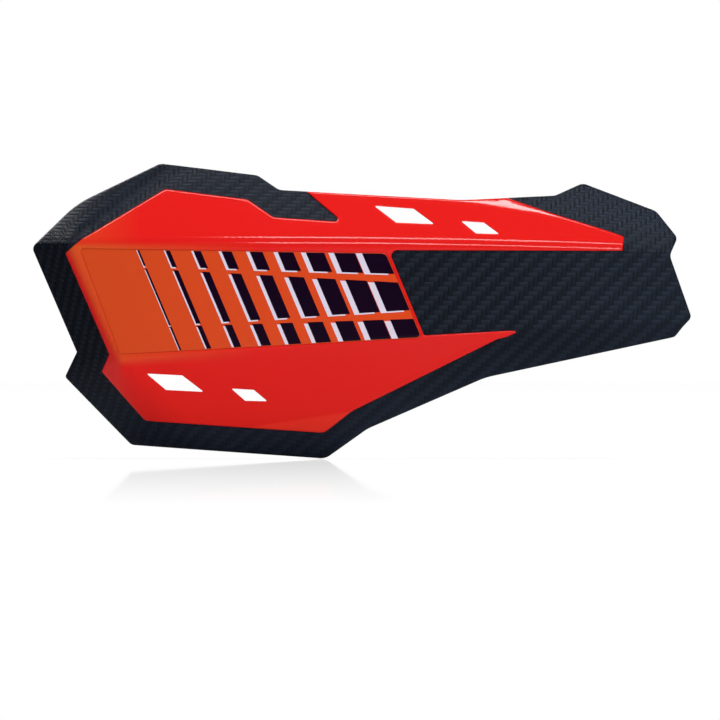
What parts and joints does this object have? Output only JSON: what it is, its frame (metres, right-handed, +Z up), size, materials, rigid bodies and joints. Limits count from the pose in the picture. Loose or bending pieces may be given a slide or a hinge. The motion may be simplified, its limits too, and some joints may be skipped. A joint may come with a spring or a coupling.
{
  "type": "motorcycle hand guard",
  "caption": "Slanted two-material shield with vents, a printed panel and a folded outer end, on a moulded arm that clamps round a handlebar, to keep wind and branches off the rider's hand.",
  "frame": {"origin": "on the handlebar's centreline, at the middle of the clamp's width", "axes": "+X along the handlebar towards the middle of the machine, +Y towards the rider, +Z up; the shield's front faces -Y"},
  "size_m": [0.2493, 0.1037, 0.1121],
  "materials": {
    "textured_black": "satin black plastic with a low woven relief",
    "glossy_red": "glossy orange-red plastic",
    "sticker_orange": "glossy orange film",
    "print_plum": "glossy near-black print",
    "print_white": "glossy off-white print",
    "moulded_black": "fine-grained black glass-filled nylon",
    "zinc_steel": "bright zinc plate",
    "insert_brass": "turned brass",
    "sleeve_black": "soft matt black plastic"
  },
  "bodies": {
    "root": {"shield_frame": "textured_black", "cover": "glossy_red", "sticker": "sticker_orange", "print_dark": "print_plum", "print_pale": "print_white", "cover_screws": "zinc_steel", "cover_washers": "zinc_steel", "outer_insert": "insert_brass", "inner_insert": "insert_brass", "arm": "moulded_black", "outer_bush": "zinc_steel", "inner_bush": "zinc_steel", "outer_washer": "zinc_steel", "inner_washer": "zinc_steel", "outer_screw": "zinc_steel", "inner_screw": "zinc_steel", "clamp_cap": "moulded_black", "upper_bolt": "zinc_steel", "lower_bolt": "zinc_steel", "upper_washer": "zinc_steel", "lower_washer": "zinc_steel", "upper_nut": "zinc_steel", "lower_nut": "zinc_steel", "bar_sleeve": "sleeve_black"}
  },
  "joints": []
}
